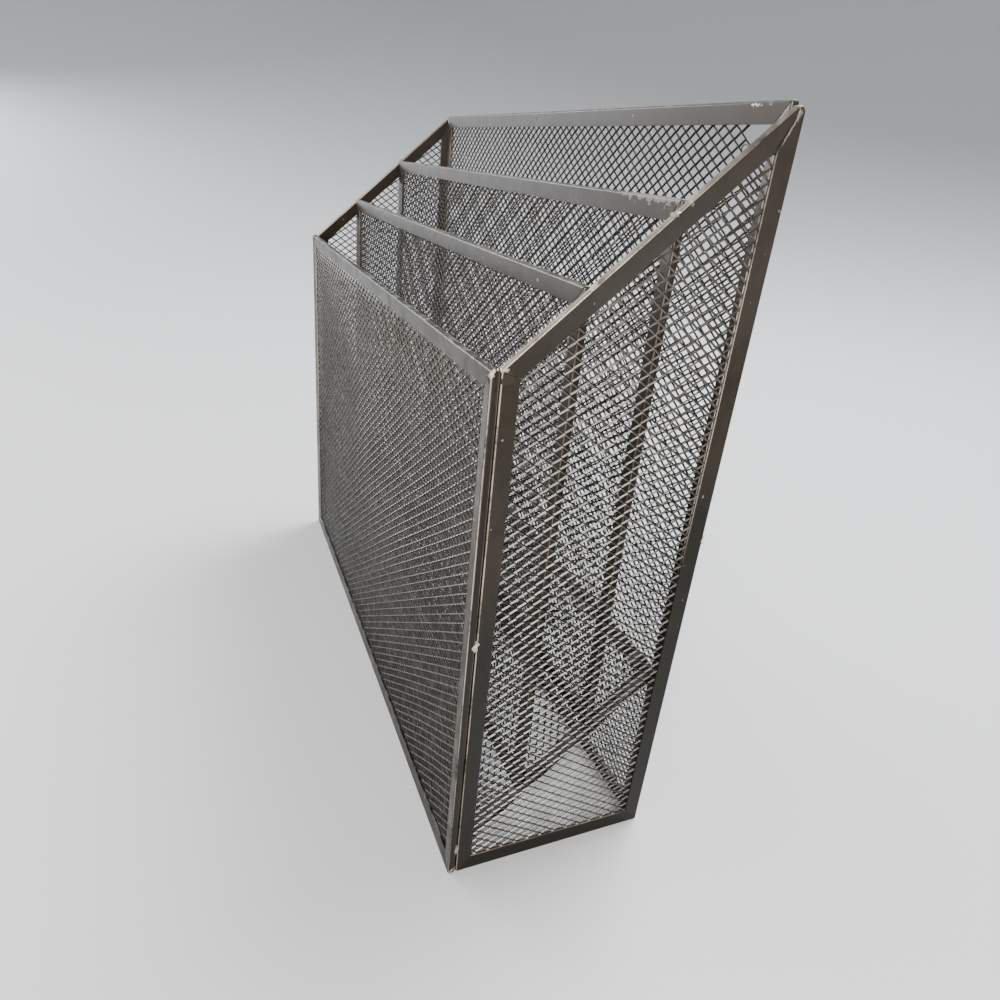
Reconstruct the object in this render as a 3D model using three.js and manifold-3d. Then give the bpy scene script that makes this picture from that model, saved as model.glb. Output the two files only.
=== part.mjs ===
// Wire file organizer: a stepped three-pocket stand of expanded-metal panels in folded steel rims.
// Units are millimetres. +X is to the right, +Y to the back, +Z up. The origin lies in the middle
// of the footprint, on the surface that the stand rests on.
import * as THREE from 'three';
import { mergeVertices } from 'three/addons/utils/BufferGeometryUtils.js';
import Module from 'manifold-3d';

const wasm = await Module();
wasm.setup();

// Overall size. The sloped edge of a side panel runs from the height of the front panel to
// slopeEndHeight at the back, where its rounded corner ends just below the back panel's top.
const overallWidth = 320;
const overallDepth = 90;
const frontHeight = 210;
const backHeight = 287;
const slopeEndHeight = 288;

// Rims: folded U-channel round every panel, mitred at the corners
const rimWidth = 6.4;
const rimThickness = 3.0;
const rimSheet = 0.6;
const rimBendRadius = 0.8;
const rimBendSteps = 2;
const mitreSeam = 0.3;
const sideTopCornerRadius = 2.0;
const cornerSteps = 3;

// Room left between one panel and the next, and between a mesh and the channel that holds it
const panelGap = 0.3;
const meshGap = 0.3;

// Pockets: how wide the front and middle ones are, and how deep a file sinks in
const frontPocketWidth = 24.8;
const middlePocketWidth = 24.8;
const pocketDepth = 200;

// Expanded metal with long diamond gaps. One modelled gap stands for a block of real ones, with a
// strand that keeps the real share of metal. The border of the sheet is hidden in the rims.
const gapWidth = 6.0;
const gapHeight = 4.1;
const gapsPerModelledGap = 9.5;
const modelledStrand = 3.0;
const borderShortOfRim = 0.6;
const smallestGapArea = 25;

const rimPaint = new THREE.MeshStandardMaterial({ color: 0x2e2a26, roughness: 0.45, metalness: 0.5 });
const meshPaint = new THREE.MeshStandardMaterial({ color: 0x24211e, roughness: 0.5, metalness: 0.5 });

const halfWidth = overallWidth / 2;
const halfDepth = overallDepth / 2;
const meshThickness = rimThickness - 2 * (rimSheet + meshGap);

// The side panels stand behind the front panel. Every other panel stands between the side panels.
const sideFrontY = -halfDepth + rimThickness + panelGap;
const innerHalfWidth = halfWidth - rimThickness - panelGap;
const slope = (slopeEndHeight - frontHeight) / (halfDepth - sideFrontY);
const slopeAngle = Math.atan(slope);
const slopeHeightAt = (y) => frontHeight + slope * (y - sideFrontY);

// The floor runs parallel to the sloped tops, one pocket depth below them.
const floorTopAt = (y) => slopeHeightAt(y) - pocketDepth;

const frontDividerY = -halfDepth + rimThickness + frontPocketWidth + rimThickness / 2;
const rearDividerY = frontDividerY + rimThickness + middlePocketWidth;

// How much a rounded rim edge falls short of a sharp one where it meets a face at the slope angle
const edgeRelief = rimBendRadius * (Math.cos(slopeAngle) + Math.sin(slopeAngle) - 1);

const point = (x, y) => new THREE.Vector2(x, y);

function toSolid(geometry) {
  const bare = geometry.clone();
  bare.deleteAttribute('normal');
  bare.deleteAttribute('uv');
  const merged = mergeVertices(bare);
  return new wasm.Manifold(new wasm.Mesh({
    numProp: 3,
    vertProperties: new Float32Array(merged.attributes.position.array),
    triVerts: new Uint32Array(merged.index.array),
  }));
}

function toGeometry(solid) {
  const { vertProperties, triVerts } = solid.getMesh();
  const geometry = new THREE.BufferGeometry();
  geometry.setAttribute('position', new THREE.BufferAttribute(new Float32Array(vertProperties), 3));
  geometry.setIndex(new THREE.BufferAttribute(new Uint32Array(triVerts), 1));
  geometry.computeVertexNormals();
  return geometry;
}

// Flat outlines given a thickness, with their middle plane at height zero
function plates(outlines, thickness) {
  const shapes = outlines.map((outline) => new THREE.Shape(outline));
  const geometry = new THREE.ExtrudeGeometry(shapes, { depth: thickness, bevelEnabled: false });
  return toSolid(geometry.translate(0, 0, -thickness / 2));
}

// One outline given a thickness, with its outer edges rounded like a bend in sheet
function roundedPlate(outline, thickness, radius) {
  const flat = thickness - 2 * radius;
  const geometry = new THREE.ExtrudeGeometry(new THREE.Shape(outline), {
    depth: flat,
    bevelThickness: radius,
    bevelSize: radius,
    bevelOffset: -radius,
    bevelSegments: rimBendSteps,
  });
  return toSolid(geometry.translate(0, 0, -flat / 2));
}

// The edges of a convex outline that runs anticlockwise, with the angle inside each corner
function edgesOf(outline) {
  return outline.map((start, index) => {
    const end = outline[(index + 1) % outline.length];
    const previous = outline[(index + outline.length - 1) % outline.length];
    const along = end.clone().sub(start).normalize();
    const inward = point(-along.y, along.x);
    const back = previous.clone().sub(start).normalize();
    return { start, end, along, inward, angle: Math.acos(along.dot(back)) };
  });
}

// The outline moved inward by a distance
function inset(outline, distance) {
  return edgesOf(outline).map(({ start, along, inward, angle }) => start.clone()
    .addScaledVector(inward, distance)
    .addScaledVector(along, distance / Math.tan(angle / 2)));
}

// The outline moved inward, with arcs in place of the corners that have a radius
function roundedOutline(outline, radii, distance) {
  return edgesOf(inset(outline, distance)).flatMap(({ start, along, inward, angle }, index) => {
    const radius = radii[index] - distance;
    if (radius <= 0) {
      return [start];
    }
    const centre = start.clone()
      .addScaledVector(inward, radius)
      .addScaledVector(along, radius / Math.tan(angle / 2));
    const firstAngle = inward.clone().negate().angle() - (Math.PI - angle);
    return Array.from({ length: cornerSteps + 1 }, (unused, step) => {
      const turn = firstAngle + (Math.PI - angle) * (step / cornerSteps);
      return centre.clone().add(point(Math.cos(turn), Math.sin(turn)).multiplyScalar(radius));
    });
  });
}

// The part of a convex outline that lies inside another convex outline
function clip(outline, boundary) {
  let kept = outline;
  for (const { start, inward } of edgesOf(boundary)) {
    const depth = (corner) => corner.clone().sub(start).dot(inward);
    kept = kept.flatMap((corner, index) => {
      const next = kept[(index + 1) % kept.length];
      const here = depth(corner);
      const there = depth(next);
      const crossing = corner.clone().lerp(next, here / (here - there));
      if (here >= 0) {
        return there >= 0 ? [corner] : [corner, crossing];
      }
      return there >= 0 ? [crossing] : [];
    });
  }
  return kept.filter((corner, index) => corner.distanceTo(kept[(index + 1) % kept.length]) > 0.01);
}

// The four strips of a panel's rim: one hollow frame, parted along the mitres
function rimStrips(outline, radii) {
  const outer = roundedPlate(roundedOutline(outline, radii, 0), rimThickness, rimBendRadius);
  const channel = plates([roundedOutline(outline, radii, rimSheet)], rimThickness - 2 * rimSheet);
  const window = plates([inset(outline, rimWidth)], 2 * rimThickness);
  const frame = outer.subtract(channel).subtract(window);
  const edges = edgesOf(outline);
  return edges.map(({ start, end, along, inward, angle }, index) => {
    const endAngle = edges[(index + 1) % edges.length].angle;
    const shortBy = (depth, corner) => depth / Math.tan(corner / 2) + mitreSeam / 2 / Math.sin(corner / 2);
    const at = (from, depth, shift) => from.clone()
      .addScaledVector(inward, depth)
      .addScaledVector(along, shift);
    const below = -rimThickness;
    const above = rimWidth + rimThickness;
    const wedge = [
      at(start, below, shortBy(below, angle)),
      at(end, below, -shortBy(below, endAngle)),
      at(end, above, -shortBy(above, endAngle)),
      at(start, above, shortBy(above, angle)),
    ];
    return toGeometry(frame.intersect(plates([wedge], 2 * rimThickness)));
  });
}

// The expanded-metal sheet: staggered rows of diamonds, cut off where they meet the rim
function meshSheet(outline, radii) {
  const pitchX = gapWidth * gapsPerModelledGap;
  const pitchY = gapHeight * gapsPerModelledGap;
  const apothem = (pitchX * pitchY) / (2 * Math.hypot(pitchX, pitchY));
  const share = 1 - modelledStrand / 2 / apothem;
  const diamond = [point(1, 0), point(0, 1), point(-1, 0), point(0, -1)]
    .map((corner) => corner.multiply(point(pitchX / 2, pitchY / 2)).multiplyScalar(share));
  const opening = inset(outline, rimWidth - borderShortOfRim);
  const box = new THREE.Box2().setFromPoints(opening);
  const middle = box.getCenter(point(0, 0));
  const columns = Math.ceil(box.getSize(point(0, 0)).x / pitchX);
  const rows = Math.ceil((2 * box.getSize(point(0, 0)).y) / pitchY);
  const gaps = [];
  for (let row = -rows; row <= rows; row += 1) {
    for (let column = -columns; column <= columns; column += 1) {
      const centre = point((column + (row % 2 ? 0.5 : 0)) * pitchX, (row * pitchY) / 2).add(middle);
      const gap = clip(diamond.map((corner) => corner.clone().add(centre)), opening);
      if (gap.length > 2 && THREE.ShapeUtils.area(gap) > smallestGapArea) {
        gaps.push(gap);
      }
    }
  }
  const sheet = plates([roundedOutline(outline, radii, rimSheet + meshGap)], meshThickness);
  return toGeometry(sheet.subtract(plates(gaps, 2 * meshThickness)));
}

// A framed panel. across and up say how its outline lies in the stand, origin where its zero is.
function framedPanel({ name, outline, radii = [0, 0, 0, 0], edges, origin, across, up }) {
  const panel = new THREE.Group();
  const normal = across.clone().cross(up);
  panel.quaternion.setFromRotationMatrix(new THREE.Matrix4().makeBasis(across, up, normal));
  panel.position.copy(origin);
  rimStrips(outline, radii).forEach((geometry, index) => {
    const strip = new THREE.Mesh(geometry, rimPaint);
    strip.name = `${name}_rim_${edges[index]}`;
    panel.add(strip);
  });
  const sheet = new THREE.Mesh(meshSheet(outline, radii), meshPaint);
  sheet.name = `${name}_mesh`;
  panel.add(sheet);
  return panel;
}

const right = new THREE.Vector3(1, 0, 0);
const backward = new THREE.Vector3(0, 1, 0);
const upward = new THREE.Vector3(0, 0, 1);

// An upright panel that faces the front, from one height to another
function crossPanel(name, y, halfSpan, low, high) {
  return framedPanel({
    name,
    outline: [point(-halfSpan, low), point(halfSpan, low), point(halfSpan, high), point(-halfSpan, high)],
    edges: ['bottom', 'right', 'top', 'left'],
    origin: new THREE.Vector3(0, y, 0),
    across: right,
    up: upward,
  });
}

function sidePanel(name, x) {
  return framedPanel({
    name,
    outline: [
      point(sideFrontY, 0),
      point(halfDepth, 0),
      point(halfDepth, slopeEndHeight),
      point(sideFrontY, frontHeight),
    ],
    radii: [0, 0, sideTopCornerRadius, sideTopCornerRadius],
    edges: ['bottom', 'back', 'slope', 'front'],
    origin: new THREE.Vector3(x, 0, 0),
    across: backward,
    up: upward,
  });
}

// A divider stands on the floor and ends at the slope.
function divider(name, y) {
  const low = floorTopAt(y + rimThickness / 2) + (panelGap - edgeRelief) / Math.cos(slopeAngle);
  return crossPanel(name, y, innerHalfWidth, low, slopeHeightAt(y));
}

function slantedFloor() {
  const frontY = -halfDepth + rimThickness + panelGap - edgeRelief;
  const backY = halfDepth - rimThickness - panelGap + edgeRelief;
  const length = (backY - frontY - rimThickness * Math.sin(slopeAngle)) / Math.cos(slopeAngle);
  const upSlope = new THREE.Vector3(0, Math.cos(slopeAngle), Math.sin(slopeAngle));
  const facing = right.clone().cross(upSlope);
  return framedPanel({
    name: 'floor',
    outline: [
      point(-innerHalfWidth, 0),
      point(innerHalfWidth, 0),
      point(innerHalfWidth, length),
      point(-innerHalfWidth, length),
    ],
    edges: ['front', 'right', 'back', 'left'],
    origin: new THREE.Vector3(0, frontY, floorTopAt(frontY)).addScaledVector(facing, -rimThickness / 2),
    across: right,
    up: upSlope,
  });
}

const organizer = new THREE.Group();
organizer.add(
  crossPanel('front', -halfDepth + rimThickness / 2, halfWidth, 0, frontHeight),
  crossPanel('back', halfDepth - rimThickness / 2, innerHalfWidth, 0, backHeight),
  sidePanel('left_side', -halfWidth + rimThickness / 2),
  sidePanel('right_side', halfWidth - rimThickness / 2),
  divider('front_divider', frontDividerY),
  divider('rear_divider', rearDividerY),
  slantedFloor(),
);

export default organizer;
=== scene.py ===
import math
from collections import namedtuple

import bmesh
import bpy
from bmesh.types import BMEdge, BMFace, BMVert
from bpy.props import FloatProperty, FloatVectorProperty, PointerProperty
from mathutils import Matrix, Vector, noise


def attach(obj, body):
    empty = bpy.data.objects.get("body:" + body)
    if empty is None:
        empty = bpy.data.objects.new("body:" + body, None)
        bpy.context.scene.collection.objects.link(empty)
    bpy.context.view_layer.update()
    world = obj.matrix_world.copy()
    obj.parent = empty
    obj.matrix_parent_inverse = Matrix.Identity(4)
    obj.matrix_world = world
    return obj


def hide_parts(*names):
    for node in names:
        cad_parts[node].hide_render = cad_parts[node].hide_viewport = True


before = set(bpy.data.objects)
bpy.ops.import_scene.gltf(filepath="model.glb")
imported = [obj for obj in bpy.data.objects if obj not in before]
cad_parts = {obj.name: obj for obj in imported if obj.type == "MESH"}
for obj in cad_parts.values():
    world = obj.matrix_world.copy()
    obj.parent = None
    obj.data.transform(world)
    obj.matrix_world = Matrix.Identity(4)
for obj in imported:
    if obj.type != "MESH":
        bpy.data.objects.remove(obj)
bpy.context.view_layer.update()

bl_info = {
    "name": "Wire File Organizer",
    "version": (1, 0, 0),
    "blender": (4, 5, 0),
    "location": "3D View > Sidebar > Organizer",
    "description": "Builds a stepped three-pocket file organizer of expanded metal in folded steel rims",
    "category": "Object",
}

# One framed panel: its outline in its own plane, the names of its edges in the same order, how far each
# corner is rounded, the matrix that stands it in its place in the organizer, how wide the seams
# between its rims are, and how worn it is, which also sets its painted highlights, as a share of the front
# panel's wear
FramedPanel = namedtuple("FramedPanel", "name outline edges corner_radii place seam wear")
# One edge of an outline: its two ends, the way along it and the way inward from it
OutlineEdge = namedtuple("OutlineEdge", "start end along inward")

# Points closer together than this, in metres, count as one when a mesh is cut or merged
CUT_TOLERANCE = 1e-7
MERGE_DISTANCE = 1e-6
# Edges that turn more sharply than this part the smooth faces of a piece
SMOOTH_UNDER = math.radians(38)


class OrganizerSizes(bpy.types.PropertyGroup):
    """Sizes of the whole stand"""
    overall_width: FloatProperty(
        name="Width", description="Left to right over the side panels",
        default=0.320, unit="LENGTH")
    overall_depth: FloatProperty(
        name="Depth", description="Front panel to back panel, outside",
        default=0.090, unit="LENGTH")
    front_height: FloatProperty(
        name="Front height", description="Height of the front panel",
        default=0.210, unit="LENGTH")
    back_height: FloatProperty(
        name="Back height", description="Height of the back panel",
        default=0.287, unit="LENGTH")
    slope_end_height: FloatProperty(
        name="Slope end height", description="Height at which a side panel's slope meets its back edge",
        default=0.288, unit="LENGTH")
    pocket_width: FloatProperty(
        name="Pocket width", description="Clear width of the front pocket and of the middle pocket",
        default=0.0248, unit="LENGTH")
    pocket_depth: FloatProperty(
        name="Pocket depth", description="How far a file sinks into a pocket",
        default=0.200, unit="LENGTH")
    panel_gap: FloatProperty(
        name="Panel gap", description="Room between one panel and the next",
        default=0.0003, unit="LENGTH")


class RimSizes(bpy.types.PropertyGroup):
    """Sizes of the folded steel rims"""
    width: FloatProperty(
        name="Rim width", description="How far a rim reaches in from the edge of its panel",
        default=0.0064, unit="LENGTH")
    thickness: FloatProperty(
        name="Rim thickness", description="Over both legs of the folded channel",
        default=0.0030, unit="LENGTH")
    sheet: FloatProperty(
        name="Sheet thickness", description="Thickness of the steel that the rims are folded from",
        default=0.0006, unit="LENGTH")
    bend_radius: FloatProperty(
        name="Bend radius", description="Outer radius of the two folds",
        default=0.0008, unit="LENGTH")
    mitre_seam: FloatProperty(
        name="Mitre seam", description="Open seam between two rims at a corner",
        default=0.0003, unit="LENGTH")
    # The wear shares below also set how bright the painted highlights along the folds and the web are
    inner_wear: FloatProperty(
        name="Inner wear", description="Wear of the folds inside the stand, against one on the outside",
        default=0.3, subtype="FACTOR")
    slope_wear_and_highlight: FloatProperty(
        name="Slope wear", description="Wear of the web of a sloped top, against one on a fold",
        default=0.6, subtype="FACTOR")
    side_wear_and_highlight: FloatProperty(
        name="Side wear", description="Wear of the side panels' folds, against one of the front panel",
        default=1.25, subtype="FACTOR")
    welded_seam: FloatProperty(
        name="Welded seam", description="Seam between two rims of a side panel, filled with weld and paint",
        default=0.00006, unit="LENGTH")
    side_corner_radius: FloatProperty(
        name="Side corner radius", description="Rounding of a side panel's two upper corners",
        default=0.0020, unit="LENGTH")
    plain_corner_radius: FloatProperty(
        name="Plain corner radius", description="Rounding of every other corner",
        default=0.0009, unit="LENGTH")
    pinch: FloatProperty(
        name="Pinch", description="How far each leg closes on the expanded metal at its open edge",
        default=0.00070, unit="LENGTH")
    waviness: FloatProperty(
        name="Waviness", description="How far the open edges of the folded sheet wander",
        default=0.00009, unit="LENGTH")
    waves_per_metre: FloatProperty(
        name="Waves per metre", description="How close together those waves are",
        default=28.0)
    score_spacing: FloatProperty(
        name="Score spacing", description="Length of rim between two divisions of its faces",
        default=0.010, unit="LENGTH")


class NetSizes(bpy.types.PropertyGroup):
    """Sizes of the expanded-metal sheets"""
    gap_width: FloatProperty(
        name="Long way", description="Length of one diamond",
        default=0.0060, unit="LENGTH")
    gap_height: FloatProperty(
        name="Short way", description="Height of one diamond",
        default=0.0041, unit="LENGTH")
    strand_width: FloatProperty(
        name="Strand width", description="Width of a strand between two diamonds",
        default=0.00042, unit="LENGTH")
    strand_thickness: FloatProperty(
        name="Strand thickness", description="Thickness of the sheet before it was stretched",
        default=0.00040, unit="LENGTH")
    strand_lift: FloatProperty(
        name="Strand lift", description="How far the edges of the tilted strands stand off the sheet",
        default=0.00044, unit="LENGTH")
    hidden_border: FloatProperty(
        name="Hidden border", description="Distance from a panel's edge to the sheet inside its rims",
        default=0.0030, unit="LENGTH")
    facet_angle: FloatProperty(
        name="Facet angle", description="Edges sharper than this part the faces of the strands",
        default=math.radians(24), subtype="ANGLE")
    # The cut edge wear also sets how bright the painted highlights along the cut edges are
    cut_edge_wear_and_highlight: FloatProperty(
        name="Cut edge wear", description="Wear of the strands' cut edges, against one on a fold",
        default=0.6, subtype="FACTOR")
    bow: FloatProperty(
        name="Bow", description="How far a sheet wanders out of its plane between its rims",
        default=0.0006, unit="LENGTH")


class CameraView(bpy.types.PropertyGroup):
    """Where the photographer stood"""
    place: FloatVectorProperty(
        name="Place", description="Position of the lens",
        default=(0.3412, -0.1211, 0.2630), subtype="TRANSLATION")
    heading: FloatProperty(
        name="Heading", description="Turn about the vertical, from looking to the back",
        default=math.radians(65.47), subtype="ANGLE")
    dip: FloatProperty(
        name="Dip", description="How far the view looks down",
        default=math.radians(25.25), subtype="ANGLE")
    roll: FloatProperty(
        name="Roll", description="Turn about the line of sight",
        default=math.radians(5.73), subtype="ANGLE")
    focal_length: FloatProperty(
        name="Focal length", description="Focal length in millimetres on a 36 mm sensor",
        default=25.607)


class Finishes(bpy.types.PropertyGroup):
    """Colours of the paint and of its wear, which also give the painted highlights and the painted shade"""
    paint: FloatVectorProperty(
        name="Paint", description="Dark bronze-brown paint",
        default=(0.022, 0.0162, 0.0112), subtype="COLOR")
    # Paint shade is also the colour of the painted shade that darkens the paint towards the foot
    paint_shade: FloatVectorProperty(
        name="Paint shade", description="Colour that the paint drifts to in broad patches",
        default=(0.007, 0.006, 0.004), subtype="COLOR")
    sheet_paint: FloatVectorProperty(
        name="Sheet paint", description="Paint of the expanded metal",
        default=(0.018, 0.0135, 0.010), subtype="COLOR")
    # Steel where the paint has rubbed off a fold or an open edge, which also stands for the painted
    # highlights along them
    bare_steel_and_highlight: FloatVectorProperty(
        name="Bare steel", description="Steel where the paint has rubbed off a fold",
        default=(0.42, 0.365, 0.30), subtype="COLOR")
    # Steel where the paint has worn off the cut edges, which also stands for the painted highlights along
    # them
    cut_steel_and_highlight: FloatVectorProperty(
        name="Cut steel", description="Steel where the paint has worn off the cut edges of the sheets",
        default=(0.46, 0.43, 0.39), subtype="COLOR")
    dust: FloatVectorProperty(
        name="Dust", description="Lint and dust specks",
        default=(0.52, 0.49, 0.45), subtype="COLOR")
    weld: FloatVectorProperty(
        name="Weld", description="Blank weld metal",
        default=(0.42, 0.37, 0.30), subtype="COLOR")
    rust: FloatVectorProperty(
        name="Rust", description="Tan rust on a worn corner",
        default=(0.30, 0.215, 0.15), subtype="COLOR")
    rim_roughness: FloatProperty(
        name="Rim roughness", description="Roughness of the paint on the rims",
        default=0.34, subtype="FACTOR")
    net_roughness: FloatProperty(
        name="Sheet roughness", description="Roughness of the paint on the expanded metal",
        default=0.24, subtype="FACTOR")


class StudioSettings(bpy.types.PropertyGroup):
    """Floor and lights"""
    floor_colour: FloatVectorProperty(
        name="Floor colour", description="Plain pale floor",
        default=(0.58, 0.59, 0.61), subtype="COLOR")
    floor_roughness: FloatProperty(
        name="Floor roughness", description="Roughness of the floor and the backdrop",
        default=0.7, subtype="FACTOR")
    floor_radius: FloatProperty(
        name="Floor radius", description="From the middle to the foot of the rounded backdrop",
        default=1.2, unit="LENGTH")
    backdrop_radius: FloatProperty(
        name="Backdrop radius", description="Radius of the curve from the floor up to the backdrop",
        default=4.2, unit="LENGTH")
    backdrop_angle: FloatProperty(
        name="Backdrop angle", description="How steep the backdrop's upper edge is",
        default=math.radians(64), subtype="ANGLE")
    light_power: FloatProperty(
        name="Light power", description="Power of each full soft light",
        default=40.0, unit="POWER")
    fill_strength: FloatProperty(
        name="Fill light", description="Strength of the light from all round",
        default=0.45)
    fill_colour: FloatVectorProperty(
        name="Fill colour", description="Colour of the light from all round",
        default=(0.93, 0.96, 1.0), subtype="COLOR")


def outline_edges(outline):
    """The edges of an outline that runs anticlockwise, with the way inward from each."""
    edges = []
    for index, start in enumerate(outline):
        end = outline[(index + 1) % len(outline)]
        along = (Vector(end) - Vector(start)).normalized()
        edges.append(OutlineEdge(Vector(start), Vector(end), along, Vector((-along.y, along.x))))
    return edges


def depth_inside(vert, edge):
    """How far a point of a panel lies inward from an edge of its outline."""
    return (vert.co.to_2d() - edge.start).dot(edge.inward)


def standing(across, up, origin):
    """The matrix that turns a panel's plane to across and up, with its zero at origin."""
    across = Vector(across)
    up = Vector(up)
    turned = Matrix((across, up, across.cross(up))).transposed().to_4x4()
    return Matrix.Translation(origin) @ turned


def slope_of(sizes, rim):
    """Rise of the sloped tops, and where along the depth they start."""
    start = -sizes.overall_depth / 2 + rim.thickness + sizes.panel_gap
    rise = (sizes.slope_end_height - sizes.front_height) / (sizes.overall_depth / 2 - start)
    return rise, start


def slanted_relief(angle, rim):
    """How much room its rounded edges give a panel that is slanted by an angle."""
    return rim.bend_radius * (math.cos(angle) + math.sin(angle) - 1)


def cross_panel(name, depth, half_span, low, high, rim, wear):
    """An upright panel that faces the front."""
    outline = [(-half_span, low), (half_span, low), (half_span, high), (-half_span, high)]
    edges = ("bottom", "right", "top", "left")
    radii = [rim.plain_corner_radius] * 4
    place = standing((1, 0, 0), (0, 0, 1), (0, depth, 0))
    return FramedPanel(name, outline, edges, radii, place, rim.mitre_seam, wear)


def side_panel(name, side, sizes, rim):
    """An upright panel across the ends of the pockets, with a sloped top."""
    start = slope_of(sizes, rim)[1]
    outline = [
        (start, 0),
        (sizes.overall_depth / 2, 0),
        (sizes.overall_depth / 2, sizes.slope_end_height),
        (start, sizes.front_height),
    ]
    edges = ("bottom", "back", "slope", "front")
    radii = [rim.plain_corner_radius] * 2 + [rim.side_corner_radius] * 2
    place = standing((0, 1, 0), (0, 0, 1), (side * (sizes.overall_width - rim.thickness) / 2, 0, 0))
    return FramedPanel(name, outline, edges, radii, place, rim.welded_seam, rim.side_wear_and_highlight)


def slanted_floor(sizes, rim, half_span):
    """The floor of all three pockets, parallel to the sloped tops."""
    rise, start = slope_of(sizes, rim)
    angle = math.atan(rise)
    relief = slanted_relief(angle, rim)
    front = start - relief
    back = sizes.overall_depth / 2 - rim.thickness - sizes.panel_gap + relief
    length = (back - front - rim.thickness * math.sin(angle)) / math.cos(angle)
    up = Vector((0, math.cos(angle), math.sin(angle)))
    top = sizes.front_height + rise * (front - start) - sizes.pocket_depth
    origin = Vector((0, front, top)) - Vector((1, 0, 0)).cross(up) * rim.thickness / 2
    outline = [(-half_span, 0), (half_span, 0), (half_span, length), (-half_span, length)]
    edges = ("front", "right", "back", "left")
    radii = [rim.plain_corner_radius] * 4
    place = standing((1, 0, 0), up, origin)
    return FramedPanel("floor", outline, edges, radii, place, rim.mitre_seam, rim.inner_wear)


def organizer_panels(sizes, rim):
    """All seven framed panels, with the floor as the last."""
    rise, start = slope_of(sizes, rim)
    angle = math.atan(rise)
    inner_span = sizes.overall_width / 2 - rim.thickness - sizes.panel_gap
    front = (rim.thickness - sizes.overall_depth) / 2
    first = front + rim.thickness + sizes.pocket_width
    second = first + rim.thickness + sizes.pocket_width

    def divider(name, depth):
        top = sizes.front_height + rise * (depth - start)
        foot_clearance = (sizes.panel_gap - slanted_relief(angle, rim)) / math.cos(angle)
        low = top + rise * rim.thickness / 2 - sizes.pocket_depth + foot_clearance
        return cross_panel(name, depth, inner_span, low, top, rim, rim.inner_wear)

    return [
        cross_panel("front", front, sizes.overall_width / 2, 0, sizes.front_height, rim, wear=1),
        cross_panel("back", -front, inner_span, 0, sizes.back_height, rim, wear=1),
        divider("front_divider", first),
        divider("rear_divider", second),
        side_panel("left_side", -1, sizes, rim),
        side_panel("right_side", 1, sizes, rim),
        slanted_floor(sizes, rim, inner_span),
    ]


def finished_piece(bm, name, material, stands_for=(), smooth_angle=SMOOTH_UNDER,
                   flat_faces=False):
    """Turns a bmesh into a piece that rides on the organizer's one body."""
    bm.normal_update()
    mesh = bpy.data.meshes.new(name)
    bm.to_mesh(mesh)
    bm.free()
    mesh.shade_smooth()
    if smooth_angle:
        mesh.set_sharp_from_angle(angle=smooth_angle)
    piece = bpy.data.objects.new(name, mesh)
    bpy.context.scene.collection.objects.link(piece)
    if flat_faces:
        normals = piece.modifiers.new("flat_faces", "WEIGHTED_NORMAL")
        normals.keep_sharp = True
    piece.data.materials.append(material)
    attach(piece, "root")
    if stands_for:
        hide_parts(*stands_for)


def everything(bm):
    """All the points, edges and faces of a bmesh."""
    return bm.verts[:] + bm.edges[:] + bm.faces[:]


def only(kind, parts):
    """The parts of one kind among those that an operator gives back."""
    return [part for part in parts if isinstance(part, kind)]


def cut_away(bm, point, outward, close=False):
    """Cuts off what lies beyond a plane, and closes the cut if asked."""
    cut = bmesh.ops.bisect_plane(
        bm, geom=everything(bm), dist=CUT_TOLERANCE, plane_co=point, plane_no=outward,
        clear_outer=True)
    if close:
        open_edges = [edge for edge in only(BMEdge, cut["geom_cut"]) if edge.is_boundary]
        bmesh.ops.holes_fill(bm, edges=open_edges, sides=0)


def score(bm, point, across):
    """Divides the faces along a plane, and keeps both sides."""
    bmesh.ops.bisect_plane(
        bm, geom=everything(bm), dist=CUT_TOLERANCE, plane_co=point, plane_no=across)


def round_off(bm, edges, radius, segments):
    """Rounds edges with an arc."""
    bmesh.ops.bevel(
        bm, geom=edges, offset=radius, offset_type="OFFSET", segments=segments, profile=0.5,
        affect="EDGES", material=-1)


# Edges of the bare channel that turn more than this, in radians, are its folds
LEAST_FOLD = 1


def folded_frame(panel, rim):
    """The rims of a panel as one folded channel that runs all the way round."""
    bm = bmesh.new()
    outer = [bm.verts.new((across, up, rim.thickness / 2)) for across, up in panel.outline]
    leg = bm.faces.new(outer)
    bm.normal_update()
    bmesh.ops.inset_region(bm, faces=[leg], thickness=rim.width, use_boundary=True, use_even_offset=True)
    bmesh.ops.delete(bm, geom=[leg], context="FACES")
    front_fold = [edge for edge in bm.edges if all(vert in outer for vert in edge.verts)]
    copied = bmesh.ops.duplicate(bm, geom=everything(bm))
    bmesh.ops.translate(bm, vec=(0, 0, -rim.thickness), verts=only(BMVert, copied["geom"]))
    bmesh.ops.reverse_faces(bm, faces=only(BMFace, copied["geom"]))
    back_fold = [copied["edge_map"][edge] for edge in front_fold]
    bmesh.ops.bridge_loops(bm, edges=front_fold + back_fold)
    bmesh.ops.recalc_face_normals(bm, faces=bm.faces[:])
    folds = [edge for edge in bm.edges
             if len(edge.link_faces) == 2 and abs(edge.calc_face_angle()) > LEAST_FOLD
             and abs(edge.verts[0].co.z - edge.verts[1].co.z) < rim.sheet]
    round_off(bm, folds, rim.bend_radius, segments=4)
    bmesh.ops.solidify(bm, geom=bm.faces[:], thickness=rim.sheet)
    bmesh.ops.recalc_face_normals(bm, faces=bm.faces[:])
    edges = outline_edges(panel.outline)
    open_edges = [edge for edge in bm.edges
                  if all(on_open_edge(vert, edges, rim) for vert in edge.verts)
                  and abs(edge.verts[0].co.z - edge.verts[1].co.z) < rim.sheet / 2]
    worn_round = rim.sheet / 5
    round_off(bm, open_edges, worn_round, segments=2)
    return bm


def on_open_edge(vert, edges, rim):
    """Whether a point lies on the open edge of the folded sheet."""
    tolerance = rim.sheet / 20
    return abs(min(depth_inside(vert, edge) for edge in edges) - rim.width) < tolerance


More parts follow.
